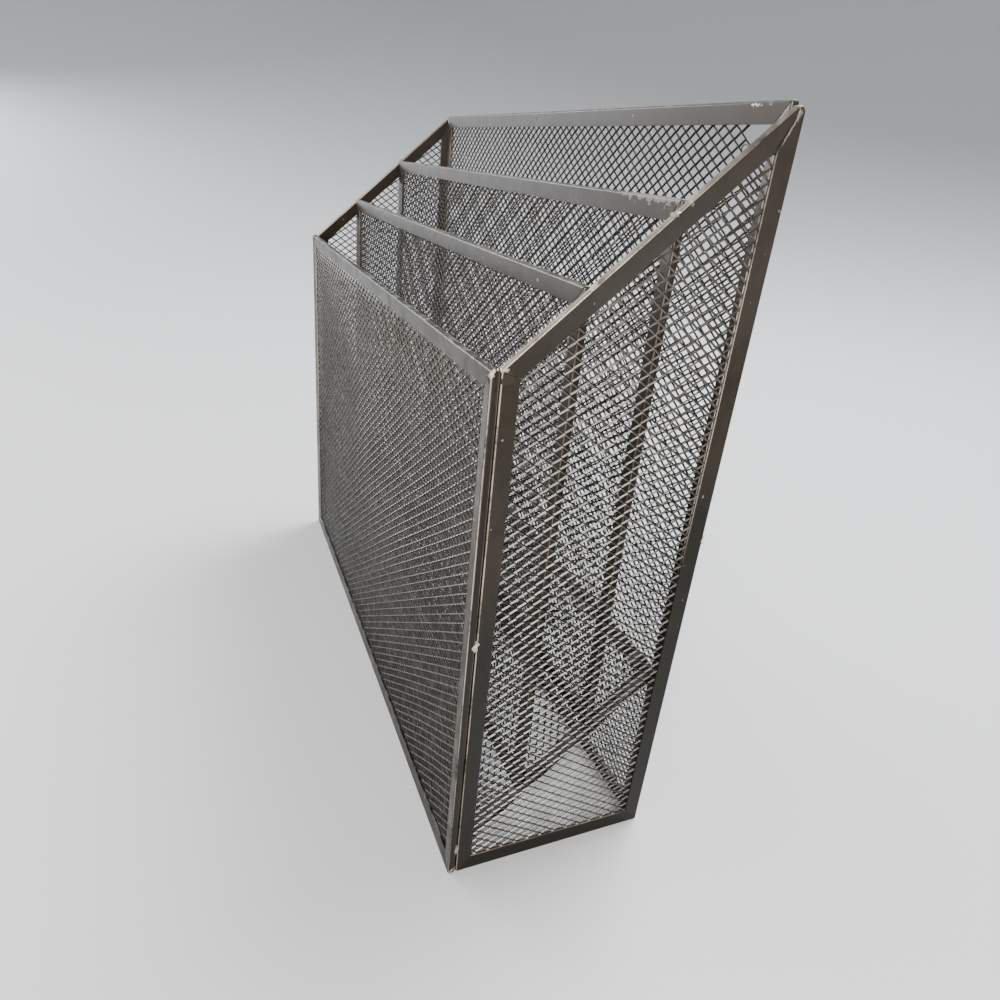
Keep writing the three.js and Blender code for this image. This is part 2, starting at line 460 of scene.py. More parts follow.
def rounded_corner(strip, before, after, radius):
    """Draws the end of a rim in to the arc of a rounded corner of its panel."""
    bisector = (before.inward + after.inward).normalized()
    middle = after.start + bisector * radius / bisector.dot(after.inward)
    for vert in strip.verts:
        reach = vert.co.to_2d() - middle
        if reach.dot(before.along) > 0 and reach.dot(after.along) < 0:
            share = max(-reach.dot(before.inward), -reach.dot(after.inward)) / reach.length
            drawn_in = middle + reach * share
            vert.co.x = drawn_in.x
            vert.co.y = drawn_in.y


# Open edges of the rims, beside the expanded metal, that have kept their paint and show no painted
# highlight up to the first height, and have worn, with a painted highlight, from the second height on
OPEN_EDGES_PAINTED_AND_UNLIT_LOW = {("left_side", "back"), ("right_side", "back"), ("front", "bottom")}
PAINTED_UP_TO = 0.13
WORN_FROM = 0.19
# Rims whose folds are less worn, with a fainter painted highlight, than the rest of their panel, as a share
# of its wear
LESS_WORN_FOLDS_WITH_FAINTER_HIGHLIGHT = {("front", "top"): 0.45}
# How near to a fold and to the web a point has to be to wear with it and take its painted highlight, as
# shares of the bend radius
FOLD_REACH = 0.4
WEB_REACH = 0.05


def mark_wear_and_highlights(strip, panel, index, rim):
    """Writes down how worn each point is, which also sets its painted highlight: at a fold, at the sheet's
    open edge or on the web.
    """
    edge = outline_edges(panel.outline)[index]
    rim_name = (panel.name, panel.edges[index])
    fold_wear_and_highlight = panel.wear * LESS_WORN_FOLDS_WITH_FAINTER_HIGHLIGHT.get(rim_name, 1)
    web_wear_and_highlight = rim.slope_wear_and_highlight if panel.edges[index] == "slope" else 0
    near_fold = rim.bend_radius * FOLD_REACH
    layer = strip.verts.layers.float.new("fold")
    for vert in strip.verts:
        depth = depth_inside(vert, edge)
        on_fold = depth < near_fold and abs(vert.co.z) > rim.thickness / 2 - near_fold
        on_edge = depth > rim.width - rim.sheet / 8
        on_web = depth < rim.bend_radius * WEB_REACH
        edge_wear_and_highlight = panel.wear
        if rim_name in OPEN_EDGES_PAINTED_AND_UNLIT_LOW:
            edge_wear_and_highlight *= min(max((vert.co.y - PAINTED_UP_TO) / (WORN_FROM - PAINTED_UP_TO), 0), 1)
        vert[layer] = max(fold_wear_and_highlight * on_fold, edge_wear_and_highlight * on_edge, web_wear_and_highlight * on_web)


# How far the noise of a rim's two legs lies from the middle, so that each waves on its own, how
# much of the waves is left at a fold, and how the waves of the whole rim are spaced against those
LEG_NOISE_SHIFT = 7
WAVES_AT_FOLD = 0.2
SWAY_SPACING = 0.6


def wander(strip, edge, rim, place):
    """Lets the legs of a folded rim wave a little, most at their open edge."""
    for vert in strip.verts:
        depth = depth_inside(vert, edge)
        spot = place @ vert.co * rim.waves_per_metre
        leg = Vector((0, 0, math.copysign(LEG_NOISE_SHIFT, vert.co.z)))
        opening = noise.noise(spot + leg) * rim.waviness * (WAVES_AT_FOLD + depth / rim.width)
        pinch = rim.pinch * max(depth - rim.bend_radius, 0) / (rim.width - rim.bend_radius)
        sway = noise.noise(spot * SWAY_SPACING) * rim.waviness
        vert.co.z += opening - math.copysign(pinch, vert.co.z)
        vert.co.x += edge.inward.x * sway
        vert.co.y += edge.inward.y * sway


# Where the faces near a rounded corner are divided, as shares of the corner's length
CORNER_DIVISIONS = (0.3, 0.6, 0.85, 1.0)


def rim_strip(whole, panel, index, rim):
    """One rim of a panel, cut from the whole folded frame along its two mitres."""
    edges = outline_edges(panel.outline)
    following = (index + 1) % len(edges)
    before, edge, after = edges[index - 1], edges[index], edges[following]
    strip = whole.copy()
    for corner, other, way in ((edge.start, before, -1), (edge.end, after, 1)):
        bisector = (edge.inward + other.inward).normalized()
        outward = Vector((bisector.y, -bisector.x))
        outward *= math.copysign(1, outward.dot(edge.along) * way)
        cut_away(strip, (corner - outward * panel.seam / 2).to_3d(), outward.to_3d(), close=True)
    beyond = edge.start + edge.inward * (rim.width + rim.thickness)
    cut_away(strip, beyond.to_3d(), edge.inward.to_3d())
    length = (edge.end - edge.start).length
    divisions = int(length / rim.score_spacing)
    distances = [length * step / divisions for step in range(1, divisions)]
    start_radius = panel.corner_radii[index]
    end_radius = panel.corner_radii[following]
    for radius, other in ((start_radius, before), (end_radius, after)):
        tangent = radius * math.tan(other.along.angle(edge.along) / 2)
        for share in CORNER_DIVISIONS:
            distances.append(tangent * share if other is before else length - tangent * share)
    for distance in distances:
        score(strip, (edge.start + edge.along * distance).to_3d(), edge.along.to_3d())
    mark_wear_and_highlights(strip, panel, index, rim)
    wander(strip, edge, rim, panel.place)
    rounded_corner(strip, before, edge, start_radius)
    rounded_corner(strip, edge, after, end_radius)
    bmesh.ops.transform(strip, matrix=panel.place, verts=strip.verts[:])
    return strip


def build_rims(sizes, rim, finishes):
    """Every rim of every panel, parted at the mitres."""
    paint = rim_paint(finishes)
    for panel in organizer_panels(sizes, rim):
        whole = folded_frame(panel, rim)
        for index, edge_name in enumerate(panel.edges):
            name = panel.name + "_rim_" + edge_name
            strip = rim_strip(whole, panel, index, rim)
            finished_piece(strip, name + "_folded", paint, [name], flat_faces=True)
        whole.free()


def repeat_along(bm, step, count):
    """Repeats everything in a bmesh along a step."""
    bmesh.ops.spin(
        bm, geom=everything(bm), cent=(0, 0, 0), axis=(0, 0, 1), dvec=step, angle=0, steps=count,
        use_duplicate=True)


SheetMake = namedtuple("SheetMake", "tilt thickness wear", defaults=(1, 1, 0))

# How far the strands of each sheet tilt, how thick they are and how much paint their cut edges have lost,
# which also sets their painted highlights, as shares of the sizes that all the sheets have in common
SHEET_MAKES = {
    "front": SheetMake(0.5, 1.7, 0.12),
    "right_side": SheetMake(1, 1.5, 0.35),
    "left_side": SheetMake(1, 1.5, 0.35),
    "front_divider": SheetMake(-0.9),
    "rear_divider": SheetMake(-0.9),
    "back": SheetMake(0.5, 1.8),
    "floor": SheetMake(),
}
# Where the middle of one gap lies in its panel's plane, so that the strands meet the rims as the
# real ones do. In every other panel it lies at the plane's zero.
GAP_PLACES = {"right_side": (-0.0300, 0.0069)}
# Two corners of the part of the back sheet that is torn out, in its panel's plane
TORN_FROM = (0.1385, 0.2758)
TORN_TO = (0.1520, 0.2820)


def bond_with_strands(bm, net, centre, facing):
    """A tilted bond where four gaps meet, with the two strands that leave it downwards."""
    across = net.gap_width / 2
    rise = net.gap_height / 2
    slant = math.hypot(across, rise)
    half_width = net.strand_width / 2 * slant / rise
    half_height = net.strand_width / 2 * slant / across
    bond = bmesh.ops.create_circle(bm, cap_ends=True, segments=4, radius=1)["verts"]
    bmesh.ops.scale(bm, vec=(half_width, half_height, 1), verts=bond)
    foot = min(bond, key=lambda vert: vert.co.y)
    for vert in bond:
        vert.co.z = -facing * net.strand_lift * vert.co.y / half_height
    made = list(bond)
    for edge in foot.link_edges[:]:
        side = math.copysign(1, edge.other_vert(foot).co.x)
        strand = bmesh.ops.extrude_edge_only(bm, edges=[edge])["geom"]
        ends = only(BMVert, strand)
        bmesh.ops.translate(
            bm, verts=ends,
            vec=(side * (across - half_width), half_height - rise, -facing * net.strand_lift))
        made += ends
    bmesh.ops.translate(bm, vec=centre, verts=made)


def expanded_sheet(panel, net, facing):
    """A panel's expanded-metal sheet in the panel's plane, without thickness."""
    bm = bmesh.new()
    bond_with_strands(bm, net, (0, net.gap_height / 2, 0), facing)
    bond_with_strands(bm, net, (net.gap_width / 2, 0, 0), facing)
    low = Vector(map(min, zip(*panel.outline)))
    high = Vector(map(max, zip(*panel.outline)))
    repeat_along(bm, (net.gap_width, 0, 0), math.ceil((high.x - low.x) / net.gap_width) + 1)
    repeat_along(bm, (0, net.gap_height, 0), math.ceil((high.y - low.y) / net.gap_height) + 1)
    gap_across, gap_up = GAP_PLACES.get(panel.name, (0, 0))
    shift_across = (gap_across - low.x) % net.gap_width - net.gap_width
    shift_up = (gap_up - low.y) % net.gap_height - net.gap_height
    bmesh.ops.translate(bm, vec=(low.x + shift_across, low.y + shift_up, 0), verts=bm.verts[:])
    bmesh.ops.remove_doubles(bm, verts=bm.verts[:], dist=MERGE_DISTANCE)
    for edge in outline_edges(panel.outline):
        cut_away(bm, (edge.start + edge.inward * net.hidden_border).to_3d(), -edge.inward.to_3d())
    return bm


def tear_out(bm, first, last):
    """Takes the strands out of a rectangle between two corners."""
    torn = []
    for face in bm.faces:
        middle = face.calc_center_median()
        if first[0] < middle.x < last[0] and first[1] < middle.y < last[1]:
            torn.append(face)
    bmesh.ops.delete(bm, geom=torn, context="FACES")


# How far from its rims a sheet reaches its full bow, how close together the bows are, and what
# brings the noise, which stays within about half of one, to its full range
BOW_GROWTH = 0.03
BOWS_PER_METRE = 14
FULL_NOISE = 2


def bow_sheet(bm, panel, rim, net):
    """Lets a sheet wander out of its plane between its rims."""
    edges = outline_edges(panel.outline)
    for vert in bm.verts:
        depth = min(depth_inside(vert, edge) for edge in edges) - rim.width
        share = min(max(depth / BOW_GROWTH, 0), 1)
        broad = noise.noise(panel.place @ vert.co * BOWS_PER_METRE)
        vert.co.z += net.bow * share * share * (3 - 2 * share) * broad * FULL_NOISE


def mark_cut_edge_wear_and_highlights(bm, front_points, wear):
    """Writes down which faces of a thickened sheet are its cut edges and how worn they are, which also sets
    their painted highlight.
    """
    layer = bm.faces.layers.float.new("fold")
    for face in bm.faces:
        at_front = sum(vert in front_points for vert in face.verts)
        face[layer] = wear if 0 < at_front < len(face.verts) else 0.0


def build_nets(sizes, rim, net, finishes):
    """Every expanded-metal sheet, cut to sit inside its rims."""
    paint = net_paint(finishes)
    for panel in organizer_panels(sizes, rim):
        make = SHEET_MAKES[panel.name]
        bm = expanded_sheet(panel, net, make.tilt)
        if panel.name == "back":
            tear_out(bm, TORN_FROM, TORN_TO)
        bow_sheet(bm, panel, rim, net)
        bmesh.ops.recalc_face_normals(bm, faces=bm.faces[:])
        front_points = set(bm.verts)
        bmesh.ops.solidify(bm, geom=bm.faces[:], thickness=net.strand_thickness * make.thickness)
        mark_cut_edge_wear_and_highlights(bm, front_points, net.cut_edge_wear_and_highlight * make.wear)
        bmesh.ops.recalc_face_normals(bm, faces=bm.faces[:])
        bmesh.ops.transform(bm, matrix=panel.place, verts=bm.verts[:])
        name = panel.name + "_mesh"
        finished_piece(bm, name + "_expanded", paint, [name], net.facet_angle)


WeldBead = namedtuple("WeldBead", "name centre radii both_sides lean painted", defaults=(0, False))

# Beads of weld at the corners and along the seams between the panels: the place and the radii of
# each on the right, whether the left has one too, how far it leans, and whether paint covers it
WELD_BEADS = (
    WeldBead("front_top", (0.1594, -0.0445, 0.2086), (0.0008, 0.0008, 0.0015), True),
    WeldBead("slope_foot", (0.1594, -0.0404, 0.2100), (0.0008, 0.0016, 0.0008), True),
    WeldBead("front_divider_top", (0.1590, -0.0157, 0.2335), (0.0008, 0.0018, 0.0006), True, 0.7325),
    WeldBead("rear_divider_top", (0.1590, 0.0124, 0.2588), (0.0008, 0.0016, 0.0006), True, 0.7325),
    WeldBead("slope_drop", (0.1597, 0.0070, 0.2544), (0.0007, 0.0014, 0.0008), False),
    WeldBead("front_seam_middle", (0.1596, -0.0421, 0.1134), (0.0008, 0.0010, 0.0020), True),
    WeldBead("front_seam_foot", (0.1597, -0.0421, 0.0132), (0.0006, 0.0009, 0.0026), True),
    WeldBead("front_corner_foot", (0.1590, -0.0438, 0.0018), (0.0012, 0.0012, 0.0016), True),
    WeldBead("back_seam_middle", (0.1590, 0.0446, 0.1447), (0.0013, 0.0007, 0.0019), True),
    WeldBead("front_corner_face", (0.1572, -0.0449, 0.2074), (0.0016, 0.0003, 0.0014), True, 0, True),
    WeldBead("apex_seam", (0.1599, 0.0412, 0.2795), (0.0003, 0.00025, 0.0060), True, -0.4180),
    WeldBead("apex_burr", (0.1600, 0.0426, 0.2826), (0.0004, 0.0005, 0.0018), True, -0.4180),
)


# Lumps of a bead of weld: how close together they are, what gives each bead lumps of its own and
# how high they are, as a share of the bead's radius
LUMP_SPACING = 1.7
LUMP_SEED = 900
LUMP_HEIGHT = 0.45
# Ripples across a bead: their turns over its height and its width, and how high they are
RIPPLES_UP = 11
RIPPLES_ACROSS = 3
RIPPLE_HEIGHT = 0.05
# How close together the bends of a bead are, per metre, and how far they reach, in radii
BENDS_PER_METRE = 450
BEND_REACH = 1.2


def build_welds(finishes):
    """Small beads of weld with lumpy outlines."""
    metal = weld_metal(finishes)
    paint = rim_paint(finishes)
    for bead in WELD_BEADS:
        for side in (1, -1) if bead.both_sides else (1,):
            bm = bmesh.new()
            bmesh.ops.create_icosphere(bm, subdivisions=4, radius=1)
            for vert in bm.verts:
                lump = noise.noise(vert.co * LUMP_SPACING + Vector(bead.centre) * LUMP_SEED * side)
                turns = vert.co.z * RIPPLES_UP + vert.co.y * RIPPLES_ACROSS
                vert.co *= 1 + LUMP_HEIGHT * lump + math.sin(turns) * RIPPLE_HEIGHT
            bmesh.ops.scale(bm, vec=bead.radii, verts=bm.verts[:])
            for vert in bm.verts:
                bend = noise.noise(Vector((vert.co.z * BENDS_PER_METRE, side, 0)))
                vert.co.y += bend * bead.radii[1] * BEND_REACH
            lean = Matrix.Rotation(bead.lean, 3, "X")
            bmesh.ops.rotate(bm, cent=(0, 0, 0), matrix=lean, verts=bm.verts[:])
            place = Vector((bead.centre[0] * side, *bead.centre[1:]))
            bmesh.ops.translate(bm, vec=place, verts=bm.verts[:])
            hand = "right" if side > 0 else "left"
            finish = paint if bead.painted else metal
            finished_piece(bm, "weld_" + bead.name + "_" + hand, finish)


# Crumbs of weld on the floor's right rim: how far up the slanted floor, how far in from its end
# and how long each is
WELD_CRUMBS = (
    (0.0155, 0.0009, 0.0017),
    (0.0192, 0.0008, 0.0015),
    (0.0299, 0.0058, 0.0014),
    (0.0372, 0.0010, 0.0015),
    (0.0386, 0.0052, 0.0012),
    (0.0399, 0.0014, 0.0012),
    (0.0417, 0.0018, 0.0017),
    (0.0430, 0.0038, 0.0011),
    (0.0720, 0.0052, 0.0014),
    (0.0781, 0.0010, 0.0013),
    (0.0920, 0.0010, 0.0014),
)
# A crumb's shape across and along the rim and upwards, how high its lumps are, how close together
# they are, per metre, and what gives each crumb lumps of its own
CRUMB_SHAPE = (0.8, 1, 0.6)
CRUMB_LUMP_HEIGHT = 0.6
CRUMB_LUMPS_PER_METRE = 2600
CRUMB_SEED = 9000


def build_weld_crumbs(sizes, rim, finishes):
    """Crumbs of weld at the foot of the pockets, stuck to the floor's right rim."""
    floor = organizer_panels(sizes, rim)[-1]
    half_span = floor.outline[1][0]
    bm = bmesh.new()
    for up, inward, length in WELD_CRUMBS:
        crumb = bmesh.ops.create_icosphere(bm, subdivisions=3, radius=length / 2)["verts"]
        seed = Vector((up, inward, length)) * CRUMB_SEED
        for vert in crumb:
            vert.co *= 1 + CRUMB_LUMP_HEIGHT * noise.noise(vert.co * CRUMB_LUMPS_PER_METRE + seed)
        bmesh.ops.scale(bm, vec=CRUMB_SHAPE, verts=crumb)
        above = rim.thickness / 2 + length / 8
        bmesh.ops.translate(bm, vec=(half_span - inward, up, above), verts=crumb)
    bmesh.ops.transform(bm, matrix=floor.place, verts=bm.verts[:])
    finished_piece(bm, "weld_crumbs", weld_metal(finishes))


# The loose strand: where it starts, the turns that lay it down and lift it again, the point and the
# axis that it curls about, by how much, and how far it draws forward in each step
STRAND_START = (0.1372, 0.0432, 0.2732)
STRAND_TURNS = (math.pi / 2, math.radians(-70))
CURL_MIDDLE = (0.1400, 0.0434, 0.2722)
CURL_AXIS = (0.1, 1, 0.1)
CURL_ANGLE = math.radians(95)
CURL_STEPS = 10
CURL_DRAW = (0, -0.00004, 0)


def build_loose_strand(net, finishes):
    """The strand that curls out of the torn corner of the back sheet."""
    bm = bmesh.new()
    end = bmesh.ops.create_circle(bm, cap_ends=True, segments=8, radius=net.strand_width / 2)["verts"]
    for turn in STRAND_TURNS:
        bmesh.ops.rotate(bm, cent=(0, 0, 0), matrix=Matrix.Rotation(turn, 3, "Y"), verts=end)
    bmesh.ops.translate(bm, vec=STRAND_START, verts=end)
    bmesh.ops.spin(
        bm, geom=everything(bm), cent=CURL_MIDDLE, axis=CURL_AXIS, dvec=CURL_DRAW,
        angle=CURL_ANGLE, steps=CURL_STEPS)
    bmesh.ops.recalc_face_normals(bm, faces=bm.faces[:])
    finished_piece(bm, "loose_strand", net_paint(finishes), (), None)


def add_node(tree, kind, inputs, **settings):
    """Adds a node, sets its options, and gives each input a value or another node's output."""
    node = tree.nodes.new(kind)
    for name, value in settings.items():
        setattr(node, name, value)
    for socket, value in inputs.items():
        if isinstance(value, bpy.types.NodeSocket):
            tree.links.new(value, node.inputs[socket])
        else:
            node.inputs[socket].default_value = value
    return node


def mix_colours(tree, share, first, second):
    """The colour output of a mix of two colours."""
    mixed = add_node(tree, "ShaderNodeMix", {0: share, 6: first, 7: second}, data_type="RGBA")
    return mixed.outputs[2]


def calculate(tree, operation, first, second, clamp=False):
    """The output of a sum, product or comparison of two values."""
    node = add_node(tree, "ShaderNodeMath", {0: first, 1: second}, operation=operation, use_clamp=clamp)
    return node.outputs[0]


def total(tree, first, second, clamp=False):
    """The sum of two values."""
    return calculate(tree, "ADD", first, second, clamp)


def product(tree, first, second, clamp=False):
    """The product of two values."""
    return calculate(tree, "MULTIPLY", first, second, clamp)


def height_of(tree, vector):
    """The upward part of a place or a direction."""
    return add_node(tree, "ShaderNodeSeparateXYZ", {"Vector": vector}).outputs["Z"]


def ramp(tree, value, start, end, low=0.0, high=1.0):
    """A value turned smoothly from low to high as it goes from start to end."""
    return add_node(
        tree, "ShaderNodeMapRange",
        {"Value": value, "From Min": start, "From Max": end, "To Min": low, "To Max": high},
        interpolation_type="SMOOTHSTEP").outputs["Result"]


def speckle(tree, where, scale, detail=2.0, distortion=0.0):
    """Noise between zero and one."""
    return add_node(
        tree, "ShaderNodeTexNoise",
        {"Vector": where, "Scale": scale, "Detail": detail, "Distortion": distortion}).outputs["Fac"]


def new_group(name, inputs, outputs):
    """A shader node group with sockets named by kind, and its input and output nodes."""
    tree = bpy.data.node_groups.new(name, "ShaderNodeTree")
    for way, kinds in (("INPUT", inputs), ("OUTPUT", outputs)):
        for kind, names in kinds.items():
            for socket in names:
                tree.interface.new_socket(socket, in_out=way, socket_type="NodeSocket" + kind)
    return tree, tree.nodes.new("NodeGroupInput").outputs, tree.nodes.new("NodeGroupOutput").inputs


def worn_paint_group():
    """Paint that drifts in colour, darkens towards the foot as painted shade, rubs through on the folds
    with painted highlights and gathers dust.
    """
    existing = bpy.data.node_groups.get("worn_paint")
    if existing:
        return existing
    tree, given, result = new_group(
        "worn_paint",
        {"Color": ("Paint", "Shade", "Bare Steel And Highlight", "Dust Colour"),
         "Float": ("Fold", "Rub And Highlight", "Chipped", "Dust", "Gloss Drift", "Base Roughness")},
        {"Color": ("Color",), "Float": ("Roughness", "Metallic", "Gloss", "Height")})
    where = tree.nodes.new("ShaderNodeTexCoord").outputs["Object"]
    facing_up = height_of(tree, tree.nodes.new("ShaderNodeNewGeometry").outputs["Normal"])
    height_up = height_of(tree, where)

    # The paint drifts in broad patches and has fine streaks, and painted shade darkens it towards the foot
    painted_foot_shade = ramp(tree, height_up, start=0.26, end=0.02, low=-0.20, high=0.36)
    patches = speckle(tree, where, scale=16.0, detail=3.0, distortion=0.4)
    drift_and_foot_shade = ramp(tree, total(tree, patches, painted_foot_shade), start=0.38, end=0.62)
    fine_streaks = speckle(tree, where, scale=120.0, detail=4.0, distortion=1.2)
    streaks = product(tree, ramp(tree, fine_streaks, start=0.30, end=0.75), 0.35)
    paint = mix_colours(tree, drift_and_foot_shade, given["Paint"], given["Shade"])
    paint = mix_colours(tree, streaks, paint, given["Shade"])

    # Folds, open edges and cut edges rub bare in coarse and fine patches, most at the middle heights, and
    # chips fall off. The rubbed steel also stands for painted highlights along them
    coarse = product(tree, speckle(tree, where, scale=45.0), 0.9)
    fine = product(tree, speckle(tree, where, scale=520.0, detail=3.0), 0.5)
    rub_and_highlight = total(tree, total(tree, coarse, fine), given["Rub And Highlight"])
    near_foot = ramp(tree, height_up, start=0.01, end=0.15, low=0.35, high=1.0)
    near_top = ramp(tree, height_up, start=0.240, end=0.276, low=1.0, high=0.25)
    wear_and_highlight_heights = product(tree, near_foot, near_top)
    rub_and_highlight = product(tree, ramp(tree, rub_and_highlight, start=0.86, end=1.22), wear_and_highlight_heights)
    rub_and_highlight = product(tree, rub_and_highlight, given["Fold"], clamp=True)
    chips = ramp(tree, speckle(tree, where, scale=310.0, distortion=0.3), start=0.745, end=0.765)
    bare_and_highlight = calculate(tree, "MAXIMUM", rub_and_highlight, product(tree, chips, given["Chipped"]))

    # Dust lies as specks in some of the cells of a fine pattern, and as a film on what faces up
    cells = add_node(tree, "ShaderNodeTexVoronoi", {"Vector": where, "Scale": 240.0})
    chosen = add_node(tree, "ShaderNodeSeparateColor", {"Color": cells.outputs["Color"]}).outputs["Red"]
    speck_size = ramp(tree, chosen, start=0.72, end=1.0, low=0.0, high=0.115)
    specks = calculate(tree, "LESS_THAN", cells.outputs["Distance"], speck_size)
    lint = ramp(tree, speckle(tree, where, scale=230.0, detail=4.0), start=0.42, end=0.72)
    film = product(tree, product(tree, ramp(tree, facing_up, start=0.2, end=1.0), lint), 0.35)
    dust = product(tree, calculate(tree, "MAXIMUM", specks, film), given["Dust"], clamp=True)
    colour = mix_colours(tree, bare_and_highlight, paint, given["Bare Steel And Highlight"])
    colour = mix_colours(tree, dust, colour, given["Dust Colour"])

    # Smudges change the gloss of the paint, and dust dulls it
    smears = speckle(tree, where, scale=75.0, detail=5.0, distortion=0.8)
    smudges = ramp(tree, smears, start=0.25, end=0.75, low=-1.0, high=1.0)
    rough = total(tree, given["Base Roughness"], product(tree, smudges, given["Gloss Drift"]))
    rough = total(tree, rough, product(tree, dust, 0.4), clamp=True)
    gloss = ramp(tree, height_up, start=0.205, end=0.240, low=0.02, high=0.48)
    gloss = product(tree, gloss, calculate(tree, "SUBTRACT", 1.0, dust))

    # The paint is pitted and a little dented, bare steel lies deeper and specks stand out
    peel = product(tree, speckle(tree, where, scale=800.0), 0.35)
    dents = product(tree, speckle(tree, where, scale=60.0, detail=1.0), 0.65)
    height = calculate(tree, "SUBTRACT", total(tree, peel, dents), product(tree, bare_and_highlight, 0.6))
    height = total(tree, height, specks)

    made = {"Color": colour, "Roughness": rough, "Metallic": product(tree, bare_and_highlight, 0.5), "Gloss": gloss,
            "Height": height}
    for name, output in made.items():
        tree.links.new(output, result[name])
    return tree


def placed_mark_group():
    """A ragged mark at one place on the stand."""
    existing = bpy.data.node_groups.get("placed_mark")
    if existing:
        return existing
    tree, given, result = new_group(
        "placed_mark", {"Vector": ("Centre", "Reach"), "Float": ("Grain", "Ragged")}, {"Float": ("Mask",)})
    where = tree.nodes.new("ShaderNodeTexCoord").outputs["Object"]
    away = where
    for operation, against in (("SUBTRACT", given["Centre"]), ("DIVIDE", given["Reach"])):
        away = add_node(tree, "ShaderNodeVectorMath", {0: away, 1: against}, operation=operation).outputs[0]
    distance = add_node(tree, "ShaderNodeVectorMath", {0: away}, operation="LENGTH").outputs["Value"]
    grain = calculate(tree, "SUBTRACT", speckle(tree, where, given["Grain"], detail=3.0), 0.5)
    edge = total(tree, 1.0, product(tree, grain, given["Ragged"]))
    inside = calculate(tree, "SUBTRACT", edge, distance)
    tree.links.new(ramp(tree, inside, start=0.0, end=0.15), result["Mask"])
    return tree


# A mark of wear or of painted shade: its middle, how far it reaches each way, how fine and how ragged its
# edge is, and its colour and roughness
PlacedMark = namedtuple("PlacedMark", "centre reach grain ragged colour roughness")


def rim_marks(finishes):
    """Marks of wear, and painted shade on two webs, at their places on the rims."""
    pale = (0.55, 0.54, 0.50)
    scuff = (0.15, 0.14, 0.125)
    smudge = (0.026, 0.022, 0.015)
    painted_web_shade = (0.010, 0.008, 0.006)
    return (
        PlacedMark((0.1411, 0.0422, 0.2859), (0.0016, 0.0030, 0.0004), 1700.0, 6.5, pale, 0.6),
        PlacedMark((0.1478, 0.0422, 0.2859), (0.0007, 0.0030, 0.0004), 1900.0, 5.0, scuff, 0.6),
        PlacedMark((0.1430, 0.0106, 0.2585), (0.0170, 0.0030, 0.0022), 520.0, 3.8, scuff, 0.5),
        PlacedMark((0.1600, 0.0427, 0.2829), (0.0010, 0.0006, 0.0018), 1500.0, 1.8, finishes.rust, 0.6),
        PlacedMark((0.1600, -0.0393, 0.2076), (0.0020, 0.0024, 0.0022), 500.0, 1.4, smudge, 0.3),
        # Painted shade down the recessed webs of the front panel's two upright rims
        PlacedMark((0.1600, -0.0435, 0.1000), (0.0005, 0.0010, 0.1200), 400.0, 0.5, painted_web_shade, 0.4),
        PlacedMark((-0.1600, -0.0435, 0.1000), (0.0005, 0.0010, 0.1200), 400.0, 0.5, painted_web_shade, 0.4),
    )


def painted_shader(name, finishes, values, constants, strength, distance):
    """A material of worn paint: its tree, its shader and the paint's node."""
    material = bpy.data.materials.new(name)
    material.use_nodes = True
    tree = material.node_tree
    shader = tree.nodes["Principled BSDF"]
    colours = {
        "Paint": (*finishes.paint, 1), "Shade": (*finishes.paint_shade, 1),
        "Bare Steel And Highlight": (*finishes.bare_steel_and_highlight, 1), "Dust Colour": (*finishes.dust, 1),
    }
    paint = add_node(tree, "ShaderNodeGroup", colours | values, node_tree=worn_paint_group())
    relief = {"Height": paint.outputs["Height"], "Strength": strength, "Distance": distance}
    bump = add_node(tree, "ShaderNodeBump", relief)
    tree.links.new(bump.outputs["Normal"], shader.inputs["Normal"])
    tree.links.new(paint.outputs["Color"], shader.inputs["Base Color"])
    tree.links.new(paint.outputs["Roughness"], shader.inputs["Roughness"])
    tree.links.new(paint.outputs["Metallic"], shader.inputs["Metallic"])
    for socket, value in constants.items():
        shader.inputs[socket].default_value = value
    return material, tree, shader, paint


def read_wear_and_highlights(tree, paint):
    """Wears the paint, with its painted highlight, where the piece's own attribute says that it is worn."""
    fold = add_node(tree, "ShaderNodeAttribute", {}, attribute_name="fold")
    tree.links.new(fold.outputs["Fac"], paint.inputs["Fold"])


def rim_paint(finishes):
    """Worn paint of the rims, with painted highlights where the folds and edges are worn, and the marks,
    one of them painted shade, at their places.
    """
    existing = bpy.data.materials.get("worn_rim_paint")
    if existing:
        return existing
    values = {"Rub And Highlight": 0.44, "Chipped": 0.6, "Dust": 0.7, "Gloss Drift": 0.09,
              "Base Roughness": finishes.rim_roughness}
    constants = {"Coat Roughness": 0.3, "Specular IOR Level": 0.16}
    material, tree, shader, paint = painted_shader(
        "worn_rim_paint", finishes, values, constants, strength=0.35, distance=0.0002)
    read_wear_and_highlights(tree, paint)
    colour = paint.outputs["Color"]
    rough = paint.outputs["Roughness"]
    for mark in rim_marks(finishes):
        shape = {"Centre": mark.centre, "Reach": mark.reach, "Grain": mark.grain, "Ragged": mark.ragged}
        mask = add_node(tree, "ShaderNodeGroup", shape, node_tree=placed_mark_group()).outputs["Mask"]
        colour = mix_colours(tree, mask, colour, (*mark.colour, 1))
        rough = add_node(tree, "ShaderNodeMix", {0: mask, 2: rough, 3: mark.roughness}).outputs[0]
    tree.links.new(colour, shader.inputs["Base Color"])
    tree.links.new(rough, shader.inputs["Roughness"])
    tree.links.new(paint.outputs["Gloss"], shader.inputs["Coat Weight"])
    return material


